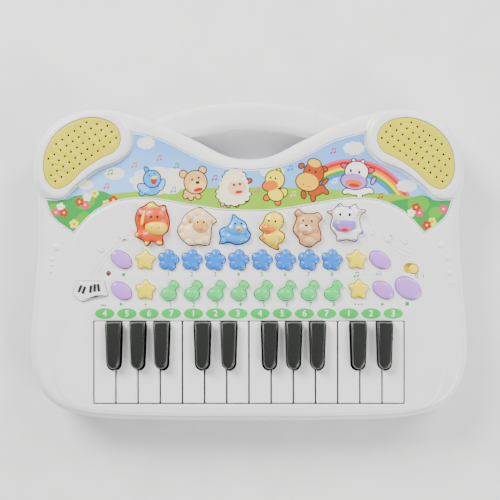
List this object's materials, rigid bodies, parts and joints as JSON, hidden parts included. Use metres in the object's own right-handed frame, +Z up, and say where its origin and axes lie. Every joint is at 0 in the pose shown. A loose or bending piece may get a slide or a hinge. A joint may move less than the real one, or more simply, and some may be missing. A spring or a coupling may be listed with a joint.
{
  "type": "toy electronic keyboard",
  "caption": "Small toy electronic keyboard with piano keys, animal-shaped and round effect buttons, two loudspeaker ears and a carry handle.",
  "frame": {"origin": "middle of the footprint's bounding box, on the surface the keyboard stands on", "axes": "+X along the keys from low notes to high notes, +Y from the player to the handle, +Z up"},
  "size_m": [0.337, 0.247, 0.047],
  "materials": {
    "white_abs": "glossy white moulding",
    "violet_abs": "satin blue-violet moulding",
    "black_abs": "glossy",
    "yellow_abs": "glossy",
    "lilac_abs": "glossy",
    "sky_blue_abs": "glossy",
    "green_abs": "glossy",
    "cream_abs": "glossy",
    "orange_abs": "glossy",
    "tan_abs": "glossy",
    "pale_blue_abs": "glossy",
    "printed_film": "printed film",
    "red_lens": "clear red",
    "steel": "drawn",
    "speaker_metal": "dark frame and paper cone",
    "silicone_rubber": "matt",
    "circuit_board": "solder resist",
    "cell_jacket": "printed jacket"
  },
  "bodies": {
    "case": {"top_case": "white_abs", "bottom_case": "violet_abs", "carry_handle": "white_abs", "battery_door": "violet_abs", "batteries": "cell_jacket", "picture_panel": "printed_film", "speaker_grille_left": "yellow_abs", "speaker_grille_right": "yellow_abs", "speaker_left": "speaker_metal", "speaker_right": "speaker_metal", "key_pivot_rod": "steel", "key_contact_strip": "silicone_rubber", "button_contact_mat": "silicone_rubber", "key_board": "circuit_board", "button_board": "circuit_board", "record_led": "red_lens", "power_switch_body": "steel"},
    "white_key_01": {"white_key_01": "white_abs"},
    "white_key_02": {"white_key_02": "white_abs"},
    "white_key_03": {"white_key_03": "white_abs"},
    "white_key_04": {"white_key_04": "white_abs"},
    "white_key_05": {"white_key_05": "white_abs"},
    "white_key_06": {"white_key_06": "white_abs"},
    "white_key_07": {"white_key_07": "white_abs"},
    "white_key_08": {"white_key_08": "white_abs"},
    "white_key_09": {"white_key_09": "white_abs"},
    "white_key_10": {"white_key_10": "white_abs"},
    "white_key_11": {"white_key_11": "white_abs"},
    "white_key_12": {"white_key_12": "white_abs"},
    "white_key_13": {"white_key_13": "white_abs"},
    "white_key_14": {"white_key_14": "white_abs"},
    "black_key_01": {"black_key_01": "black_abs"},
    "black_key_02": {"black_key_02": "black_abs"},
    "black_key_03": {"black_key_03": "black_abs"},
    "black_key_04": {"black_key_04": "black_abs"},
    "black_key_05": {"black_key_05": "black_abs"},
    "black_key_06": {"black_key_06": "black_abs"},
    "black_key_07": {"black_key_07": "black_abs"},
    "black_key_08": {"black_key_08": "black_abs"},
    "black_key_09": {"black_key_09": "black_abs"},
    "black_key_10": {"black_key_10": "black_abs"},
    "horse_button": {"horse_button": "orange_abs"},
    "sheep_button": {"sheep_button": "cream_abs"},
    "bird_button": {"bird_button": "pale_blue_abs"},
    "duck_button": {"duck_button": "yellow_abs"},
    "bear_button": {"bear_button": "tan_abs"},
    "cow_button": {"cow_button": "white_abs"},
    "record_button": {"record_button": "lilac_abs"},
    "replay_button": {"replay_button": "lilac_abs"},
    "volume_button": {"volume_button": "lilac_abs"},
    "demo_button": {"demo_button": "lilac_abs"},
    "stop_button": {"stop_button": "lilac_abs"},
    "tempo_down_button": {"tempo_down_button": "yellow_abs"},
    "tempo_up_button": {"tempo_up_button": "yellow_abs"},
    "melody_button": {"melody_button": "yellow_abs"},
    "chord_button": {"chord_button": "yellow_abs"},
    "piano_button": {"piano_button": "white_abs"},
    "rhythm_buttons": {"rhythm_buttons": "sky_blue_abs"},
    "song_buttons": {"song_buttons": "green_abs"},
    "power_switch_knob": {"power_switch_knob": "yellow_abs"}
  },
  "joints": [
    {"name": "white_key_01_press", "type": "hinge", "parent": "case", "child": "white_key_01", "pos_m": [-0.1105, -0.037, 0.0293], "axis": [1, 0, 0], "range_deg": [0, 3], "stiffness_Nm_per_rad": 0.3, "springref_deg": -5.73, "deforming": ["key_contact_strip"]},
    {"name": "white_key_02_press", "type": "hinge", "parent": "case", "child": "white_key_02", "pos_m": [-0.0935, -0.037, 0.0293], "axis": [1, 0, 0], "range_deg": [0, 3], "stiffness_Nm_per_rad": 0.3, "springref_deg": -5.73, "deforming": ["key_contact_strip"]},
    {"name": "white_key_03_press", "type": "hinge", "parent": "case", "child": "white_key_03", "pos_m": [-0.0765, -0.037, 0.0293], "axis": [1, 0, 0], "range_deg": [0, 3], "stiffness_Nm_per_rad": 0.3, "springref_deg": -5.73, "deforming": ["key_contact_strip"]},
    {"name": "white_key_04_press", "type": "hinge", "parent": "case", "child": "white_key_04", "pos_m": [-0.0595, -0.037, 0.0293], "axis": [1, 0, 0], "range_deg": [0, 3], "stiffness_Nm_per_rad": 0.3, "springref_deg": -5.73, "deforming": ["key_contact_strip"]},
    {"name": "white_key_05_press", "type": "hinge", "parent": "case", "child": "white_key_05", "pos_m": [-0.0425, -0.037, 0.0293], "axis": [1, 0, 0], "range_deg": [0, 3], "stiffness_Nm_per_rad": 0.3, "springref_deg": -5.73, "deforming": ["key_contact_strip"]},
    {"name": "white_key_06_press", "type": "hinge", "parent": "case", "child": "white_key_06", "pos_m": [-0.0255, -0.037, 0.0293], "axis": [1, 0, 0], "range_deg": [0, 3], "stiffness_Nm_per_rad": 0.3, "springref_deg": -5.73, "deforming": ["key_contact_strip"]},
    {"name": "white_key_07_press", "type": "hinge", "parent": "case", "child": "white_key_07", "pos_m": [-0.0085, -0.037, 0.0293], "axis": [1, 0, 0], "range_deg": [0, 3], "stiffness_Nm_per_rad": 0.3, "springref_deg": -5.73, "deforming": ["key_contact_strip"]},
    {"name": "white_key_08_press", "type": "hinge", "parent": "case", "child": "white_key_08", "pos_m": [0.0085, -0.037, 0.0293], "axis": [1, 0, 0], "range_deg": [0, 3], "stiffness_Nm_per_rad": 0.3, "springref_deg": -5.73, "deforming": ["key_contact_strip"]},
    {"name": "white_key_09_press", "type": "hinge", "parent": "case", "child": "white_key_09", "pos_m": [0.0255, -0.037, 0.0293], "axis": [1, 0, 0], "range_deg": [0, 3], "stiffness_Nm_per_rad": 0.3, "springref_deg": -5.73, "deforming": ["key_contact_strip"]},
    {"name": "white_key_10_press", "type": "hinge", "parent": "case", "child": "white_key_10", "pos_m": [0.0425, -0.037, 0.0293], "axis": [1, 0, 0], "range_deg": [0, 3], "stiffness_Nm_per_rad": 0.3, "springref_deg": -5.73, "deforming": ["key_contact_strip"]},
    {"name": "white_key_11_press", "type": "hinge", "parent": "case", "child": "white_key_11", "pos_m": [0.0595, -0.037, 0.0293], "axis": [1, 0, 0], "range_deg": [0, 3], "stiffness_Nm_per_rad": 0.3, "springref_deg": -5.73, "deforming": ["key_contact_strip"]},
    {"name": "white_key_12_press", "type": "hinge", "parent": "case", "child": "white_key_12", "pos_m": [0.0765, -0.037, 0.0293], "axis": [1, 0, 0], "range_deg": [0, 3], "stiffness_Nm_per_rad": 0.3, "springref_deg": -5.73, "deforming": ["key_contact_strip"]},
    {"name": "white_key_13_press", "type": "hinge", "parent": "case", "child": "white_key_13", "pos_m": [0.0935, -0.037, 0.0293], "axis": [1, 0, 0], "range_deg": [0, 3], "stiffness_Nm_per_rad": 0.3, "springref_deg": -5.73, "deforming": ["key_contact_strip"]},
    {"name": "white_key_14_press", "type": "hinge", "parent": "case", "child": "white_key_14", "pos_m": [0.1105, -0.037, 0.0293], "axis": [1, 0, 0], "range_deg": [0, 3], "stiffness_Nm_per_rad": 0.3, "springref_deg": -5.73, "deforming": ["key_contact_strip"]},
    {"name": "black_key_01_press", "type": "hinge", "parent": "case", "child": "black_key_01", "pos_m": [-0.1032, -0.037, 0.0293], "axis": [1, 0, 0], "range_deg": [0, 2.8], "stiffness_Nm_per_rad": 0.3, "springref_deg": -5.73, "deforming": ["key_contact_strip"]},
    {"name": "black_key_02_press", "type": "hinge", "parent": "case", "child": "black_key_02", "pos_m": [-0.085, -0.037, 0.0293], "axis": [1, 0, 0], "range_deg": [0, 2.8], "stiffness_Nm_per_rad": 0.3, "springref_deg": -5.73, "deforming": ["key_contact_strip"]},
    {"name": "black_key_03_press", "type": "hinge", "parent": "case", "child": "black_key_03", "pos_m": [-0.0668, -0.037, 0.0293], "axis": [1, 0, 0], "range_deg": [0, 2.8], "stiffness_Nm_per_rad": 0.3, "springref_deg": -5.73, "deforming": ["key_contact_strip"]},
    {"name": "black_key_04_press", "type": "hinge", "parent": "case", "child": "black_key_04", "pos_m": [-0.0355, -0.037, 0.0293], "axis": [1, 0, 0], "range_deg": [0, 2.8], "stiffness_Nm_per_rad": 0.3, "springref_deg": -5.73, "deforming": ["key_contact_strip"]},
    {"name": "black_key_05_press", "type": "hinge", "parent": "case", "child": "black_key_05", "pos_m": [-0.0155, -0.037, 0.0293], "axis": [1, 0, 0], "range_deg": [0, 2.8], "stiffness_Nm_per_rad": 0.3, "springref_deg": -5.73, "deforming": ["key_contact_strip"]},
    {"name": "black_key_06_press", "type": "hinge", "parent": "case", "child": "black_key_06", "pos_m": [0.0158, -0.037, 0.0293], "axis": [1, 0, 0], "range_deg": [0, 2.8], "stiffness_Nm_per_rad": 0.3, "springref_deg": -5.73, "deforming": ["key_contact_strip"]},
    {"name": "black_key_07_press", "type": "hinge", "parent": "case", "child": "black_key_07", "pos_m": [0.034, -0.037, 0.0293], "axis": [1, 0, 0], "range_deg": [0, 2.8], "stiffness_Nm_per_rad": 0.3, "springref_deg": -5.73, "deforming": ["key_contact_strip"]},
    {"name": "black_key_08_press", "type": "hinge", "parent": "case", "child": "black_key_08", "pos_m": [0.0522, -0.037, 0.0293], "axis": [1, 0, 0], "range_deg": [0, 2.8], "stiffness_Nm_per_rad": 0.3, "springref_deg": -5.73, "deforming": ["key_contact_strip"]},
    {"name": "black_key_09_press", "type": "hinge", "parent": "case", "child": "black_key_09", "pos_m": [0.0835, -0.037, 0.0293], "axis": [1, 0, 0], "range_deg": [0, 2.8], "stiffness_Nm_per_rad": 0.3, "springref_deg": -5.73, "deforming": ["key_contact_strip"]},
    {"name": "black_key_10_press", "type": "hinge", "parent": "case", "child": "black_key_10", "pos_m": [0.1035, -0.037, 0.0293], "axis": [1, 0, 0], "range_deg": [0, 2.8], "stiffness_Nm_per_rad": 0.3, "springref_deg": -5.73, "deforming": ["key_contact_strip"]},
    {"name": "horse_button_press", "type": "slide", "parent": "case", "child": "horse_button", "axis": [0, 0, -1], "range_m": [0, 0.0018], "stiffness_N_per_m": 200, "springref_m": -0.002, "deforming": ["button_contact_mat"]},
    {"name": "sheep_button_press", "type": "slide", "parent": "case", "child": "sheep_button", "axis": [0, 0, -1], "range_m": [0, 0.0018], "stiffness_N_per_m": 200, "springref_m": -0.002, "deforming": ["button_contact_mat"]},
    {"name": "bird_button_press", "type": "slide", "parent": "case", "child": "bird_button", "axis": [0, 0, -1], "range_m": [0, 0.0018], "stiffness_N_per_m": 200, "springref_m": -0.002, "deforming": ["button_contact_mat"]},
    {"name": "duck_button_press", "type": "slide", "parent": "case", "child": "duck_button", "axis": [0, 0, -1], "range_m": [0, 0.0018], "stiffness_N_per_m": 200, "springref_m": -0.002, "deforming": ["button_contact_mat"]},
    {"name": "bear_button_press", "type": "slide", "parent": "case", "child": "bear_button", "axis": [0, 0, -1], "range_m": [0, 0.0018], "stiffness_N_per_m": 200, "springref_m": -0.002, "deforming": ["button_contact_mat"]},
    {"name": "cow_button_press", "type": "slide", "parent": "case", "child": "cow_button", "axis": [0, 0, -1], "range_m": [0, 0.0018], "stiffness_N_per_m": 200, "springref_m": -0.002, "deforming": ["button_contact_mat"]},
    {"name": "record_button_press", "type": "slide", "parent": "case", "child": "record_button", "axis": [0, 0, -1], "range_m": [0, 0.0018], "stiffness_N_per_m": 200, "springref_m": -0.002, "deforming": ["button_contact_mat"]},
    {"name": "replay_button_press", "type": "slide", "parent": "case", "child": "replay_button", "axis": [0, 0, -1], "range_m": [0, 0.0018], "stiffness_N_per_m": 200, "springref_m": -0.002, "deforming": ["button_contact_mat"]},
    {"name": "volume_button_press", "type": "slide", "parent": "case", "child": "volume_button", "axis": [0, 0, -1], "range_m": [0, 0.0018], "stiffness_N_per_m": 200, "springref_m": -0.002, "deforming": ["button_contact_mat"]},
    {"name": "demo_button_press", "type": "slide", "parent": "case", "child": "demo_button", "axis": [0, 0, -1], "range_m": [0, 0.0018], "stiffness_N_per_m": 200, "springref_m": -0.002, "deforming": ["button_contact_mat"]},
    {"name": "stop_button_press", "type": "slide", "parent": "case", "child": "stop_button", "axis": [0, 0, -1], "range_m": [0, 0.0018], "stiffness_N_per_m": 200, "springref_m": -0.002, "deforming": ["button_contact_mat"]},
    {"name": "tempo_down_button_press", "type": "slide", "parent": "case", "child": "tempo_down_button", "axis": [0, 0, -1], "range_m": [0, 0.0018], "stiffness_N_per_m": 200, "springref_m": -0.002, "deforming": ["button_contact_mat"]},
    {"name": "tempo_up_button_press", "type": "slide", "parent": "case", "child": "tempo_up_button", "axis": [0, 0, -1], "range_m": [0, 0.0018], "stiffness_N_per_m": 200, "springref_m": -0.002, "deforming": ["button_contact_mat"]},
    {"name": "melody_button_press", "type": "slide", "parent": "case", "child": "melody_button", "axis": [0, 0, -1], "range_m": [0, 0.0018], "stiffness_N_per_m": 200, "springref_m": -0.002, "deforming": ["button_contact_mat"]},
    {"name": "chord_button_press", "type": "slide", "parent": "case", "child": "chord_button", "axis": [0, 0, -1], "range_m": [0, 0.0018], "stiffness_N_per_m": 200, "springref_m": -0.002, "deforming": ["button_contact_mat"]},
    {"name": "piano_button_press", "type": "slide", "parent": "case", "child": "piano_button", "axis": [0, 0, -1], "range_m": [0, 0.0018], "stiffness_N_per_m": 200, "springref_m": -0.002, "deforming": ["button_contact_mat"]},
    {"name": "rhythm_buttons_press", "type": "slide", "parent": "case", "child": "rhythm_buttons", "axis": [0, 0, -1], "range_m": [0, 0.0018], "stiffness_N_per_m": 200, "springref_m": -0.002, "deforming": ["button_contact_mat"]},
    {"name": "song_buttons_press", "type": "slide", "parent": "case", "child": "song_buttons", "axis": [0, 0, -1], "range_m": [0, 0.0018], "stiffness_N_per_m": 200, "springref_m": -0.002, "deforming": ["button_contact_mat"]},
    {"name": "power_switch_slide", "type": "slide", "parent": "case", "child": "power_switch_knob", "axis": [-0.9903, 0.1392, 0], "range_m": [0, 0.0036]}
  ]
}
